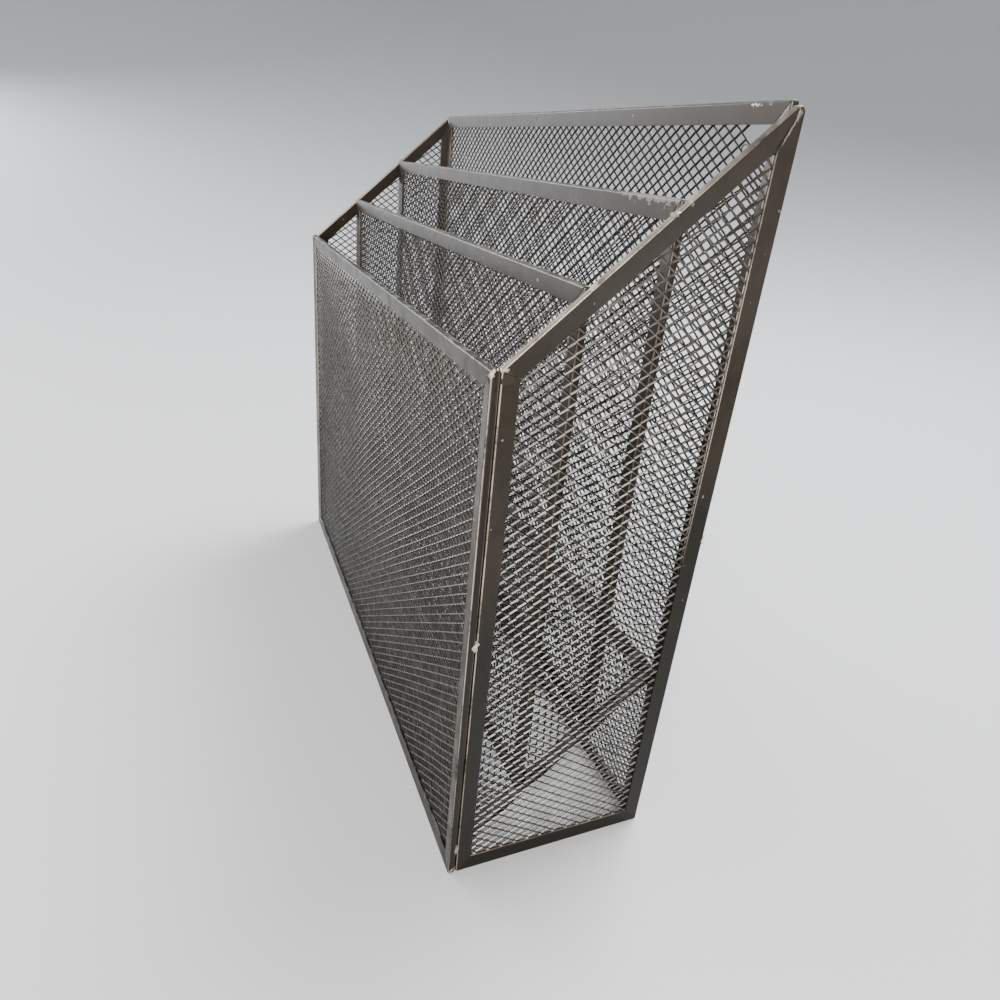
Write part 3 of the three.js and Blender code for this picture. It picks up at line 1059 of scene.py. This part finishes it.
def net_paint(finishes):
    """Worn paint of the expanded-metal sheets, with painted highlights where their cut edges are worn."""
    existing = bpy.data.materials.get("worn_net_paint")
    if existing:
        return existing
    values = {"Paint": (*finishes.sheet_paint, 1), "Bare Steel And Highlight": (*finishes.cut_steel_and_highlight, 1),
              "Rub And Highlight": 0.55, "Chipped": 0.0, "Dust": 0.35, "Gloss Drift": 0.07,
              "Base Roughness": finishes.net_roughness}
    material, tree, _, paint = painted_shader(
        "worn_net_paint", finishes, values, {"Specular IOR Level": 0.42}, strength=0.3, distance=0.0001)
    read_wear_and_highlights(tree, paint)
    return material


def weld_metal(finishes):
    """Weld metal, half covered by paint."""
    existing = bpy.data.materials.get("weld_metal")
    if existing:
        return existing
    values = {"Bare Steel And Highlight": (*finishes.weld, 1), "Fold": 1.0, "Rub And Highlight": 0.50, "Chipped": 1.0,
              "Dust": 0.2, "Gloss Drift": 0.1, "Base Roughness": 0.34}
    return painted_shader("weld_metal", finishes, values, {}, strength=0.6, distance=0.0002)[0]


SENSOR_WIDTH_MM = 36
NEAREST_SEEN = 0.01


def build_camera(view):
    """The camera at the photographer's place."""
    data = bpy.data.cameras.new("photo_camera")
    data.lens = view.focal_length
    data.sensor_width = SENSOR_WIDTH_MM
    data.clip_start = NEAREST_SEEN
    camera = bpy.data.objects.new("photo_camera", data)
    turn = Matrix.Rotation(view.heading, 4, "Z")
    tilt = Matrix.Rotation(math.pi / 2 - view.dip, 4, "X")
    roll = Matrix.Rotation(view.roll, 4, "Z")
    camera.matrix_world = Matrix.Translation(view.place) @ turn @ tilt @ roll
    bpy.context.scene.collection.objects.link(camera)
    bpy.context.scene.camera = camera


# The point that the lights face
ORGANIZER_MIDDLE = (0, 0, 0.12)
# A rectangular light: its place, its width and height, its share of the full power and its colour
StudioLight = namedtuple("StudioLight", "name place width height share colour")

# A tall warm light behind the camera for the end panel, a cool one at the left and a dim broad one
# for the front, a weak one overhead and one behind that shines through the sheets
STUDIO_LIGHTS = (
    StudioLight("end_light", (1.40, -0.96, 0.90), 0.34, 1.7, 1.7, (1.0, 0.94, 0.87)),
    StudioLight("front_light", (-2.4, -1.3, 0.9), 0.8, 0.8, 1.1, (0.95, 0.97, 1.0)),
    StudioLight("room_light", (-1.5, -2.5, 0.6), 1.8, 1.0, 0.35, (1.0, 0.95, 0.90)),
    StudioLight("overhead_light", (-0.30, -0.70, 1.70), 0.9, 0.9, 0.3, (1.0, 0.98, 0.95)),
    StudioLight("rear_light", (-0.4, 1.0, 1.8), 1.2, 1.2, 2.0, (0.96, 0.98, 1.0)),
)


# Steps in the backdrop's curve and round the floor
BACKDROP_STEPS = 16
FLOOR_STEPS = 96
FLOOR_MERGE_DISTANCE = 1e-5


def studio_floor(studio):
    """Plain floor with a rounded backdrop."""
    bm = bmesh.new()
    middle = bm.verts.new((0, 0, 0))
    foot = bm.verts.new((studio.floor_radius, 0, 0))
    bm.edges.new((middle, foot))
    bmesh.ops.spin(
        bm, geom=[foot], cent=(studio.floor_radius, 0, studio.backdrop_radius), axis=(0, -1, 0),
        dvec=(0, 0, 0), angle=studio.backdrop_angle, steps=BACKDROP_STEPS)
    bmesh.ops.spin(
        bm, geom=bm.verts[:] + bm.edges[:], cent=(0, 0, 0), axis=(0, 0, 1), dvec=(0, 0, 0),
        angle=math.tau, steps=FLOOR_STEPS, use_merge=True)
    bmesh.ops.remove_doubles(bm, verts=bm.verts[:], dist=FLOOR_MERGE_DISTANCE)
    bmesh.ops.recalc_face_normals(bm, faces=bm.faces[:])
    mesh = bpy.data.meshes.new("studio_floor")
    bm.to_mesh(mesh)
    bm.free()
    mesh.shade_smooth()
    floor = bpy.data.objects.new("studio_floor", mesh)
    bpy.context.scene.collection.objects.link(floor)
    material = bpy.data.materials.new("studio_floor")
    material.use_nodes = True
    shader = material.node_tree.nodes["Principled BSDF"]
    shader.inputs["Base Color"].default_value = (*studio.floor_colour, 1)
    shader.inputs["Roughness"].default_value = studio.floor_roughness
    mesh.materials.append(material)


def fill_light(studio):
    """Pale light from all round."""
    world = bpy.data.worlds.new("studio_light")
    world.use_nodes = True
    background = world.node_tree.nodes["Background"]
    background.inputs["Color"].default_value = (*studio.fill_colour, 1)
    background.inputs["Strength"].default_value = studio.fill_strength
    bpy.context.scene.world = world


def soft_light(light, power):
    """A rectangular soft light that faces the organizer."""
    data = bpy.data.lights.new(light.name, "AREA")
    data.shape = "RECTANGLE"
    data.size = light.width
    data.size_y = light.height
    data.energy = light.share * power
    data.color = light.colour
    lamp = bpy.data.objects.new(light.name, data)
    lamp.location = light.place
    towards = Vector(ORGANIZER_MIDDLE) - Vector(light.place)
    lamp.rotation_euler = towards.to_track_quat("-Z", "Y").to_euler()
    bpy.context.scene.collection.objects.link(lamp)


def build_studio(studio):
    """The floor, the light from all round and the soft lights."""
    studio_floor(studio)
    fill_light(studio)
    for light in STUDIO_LIGHTS:
        soft_light(light, studio.light_power)


class ORGANIZER_OT_camera(bpy.types.Operator):
    """Sets the camera to the photographer's place"""
    bl_idname = "organizer.camera"
    bl_label = "Camera"

    def execute(self, context):
        build_camera(context.scene.organizer_view)
        return {"FINISHED"}


class ORGANIZER_OT_rims(bpy.types.Operator):
    """Folds the steel rims of all seven panels"""
    bl_idname = "organizer.rims"
    bl_label = "Folded rims"

    def execute(self, context):
        scene = context.scene
        build_rims(scene.organizer_sizes, scene.organizer_rim, scene.organizer_finishes)
        return {"FINISHED"}


class ORGANIZER_OT_nets(bpy.types.Operator):
    """Stretches the expanded-metal sheets of all seven panels"""
    bl_idname = "organizer.nets"
    bl_label = "Expanded-metal sheets"

    def execute(self, context):
        scene = context.scene
        build_nets(scene.organizer_sizes, scene.organizer_rim, scene.organizer_net,
                   scene.organizer_finishes)
        return {"FINISHED"}


class ORGANIZER_OT_welds(bpy.types.Operator):
    """Sets the beads of weld on the corners and seams"""
    bl_idname = "organizer.welds"
    bl_label = "Weld beads"

    def execute(self, context):
        build_welds(context.scene.organizer_finishes)
        return {"FINISHED"}


class ORGANIZER_OT_weld_crumbs(bpy.types.Operator):
    """Scatters crumbs of weld along the floor's right rim"""
    bl_idname = "organizer.weld_crumbs"
    bl_label = "Weld crumbs"

    def execute(self, context):
        scene = context.scene
        build_weld_crumbs(scene.organizer_sizes, scene.organizer_rim, scene.organizer_finishes)
        return {"FINISHED"}


class ORGANIZER_OT_loose_strand(bpy.types.Operator):
    """Curls a strand out of the torn corner of the back sheet"""
    bl_idname = "organizer.loose_strand"
    bl_label = "Loose strand"

    def execute(self, context):
        build_loose_strand(context.scene.organizer_net, context.scene.organizer_finishes)
        return {"FINISHED"}


class ORGANIZER_OT_studio(bpy.types.Operator):
    """Lays the floor and hangs the lights"""
    bl_idname = "organizer.studio"
    bl_label = "Studio"

    def execute(self, context):
        build_studio(context.scene.organizer_studio)
        return {"FINISHED"}


class ORGANIZER_PT_steps(bpy.types.Panel):
    """Lists the organizer's pieces in the order in which they are made"""
    bl_label = "Wire File Organizer"
    bl_idname = "ORGANIZER_PT_steps"
    bl_space_type = "VIEW_3D"
    bl_region_type = "UI"
    bl_category = "Organizer"

    def draw(self, context):
        for operator in OPERATORS:
            self.layout.operator(operator.bl_idname)


OPERATORS = (
    ORGANIZER_OT_camera,
    ORGANIZER_OT_rims,
    ORGANIZER_OT_nets,
    ORGANIZER_OT_welds,
    ORGANIZER_OT_weld_crumbs,
    ORGANIZER_OT_loose_strand,
    ORGANIZER_OT_studio,
)
SETTINGS = {
    "organizer_sizes": OrganizerSizes,
    "organizer_rim": RimSizes,
    "organizer_net": NetSizes,
    "organizer_view": CameraView,
    "organizer_finishes": Finishes,
    "organizer_studio": StudioSettings,
}


def register():
    """Adds the settings, the operators and the panel."""
    for name, group in SETTINGS.items():
        bpy.utils.register_class(group)
        setattr(bpy.types.Scene, name, PointerProperty(type=group))
    for operator in OPERATORS:
        bpy.utils.register_class(operator)
    bpy.utils.register_class(ORGANIZER_PT_steps)


def unregister():
    """Takes out what register adds, in the opposite order."""
    bpy.utils.unregister_class(ORGANIZER_PT_steps)
    for operator in reversed(OPERATORS):
        bpy.utils.unregister_class(operator)
    for name, group in SETTINGS.items():
        delattr(bpy.types.Scene, name)
        bpy.utils.unregister_class(group)


def main():
    """Builds the organizer and its studio."""
    register()
    bpy.ops.organizer.camera()
    bpy.ops.organizer.rims()
    bpy.ops.organizer.nets()
    bpy.ops.organizer.welds()
    bpy.ops.organizer.weld_crumbs()
    bpy.ops.organizer.loose_strand()
    bpy.ops.organizer.studio()


if __name__ == "__main__":
    main()
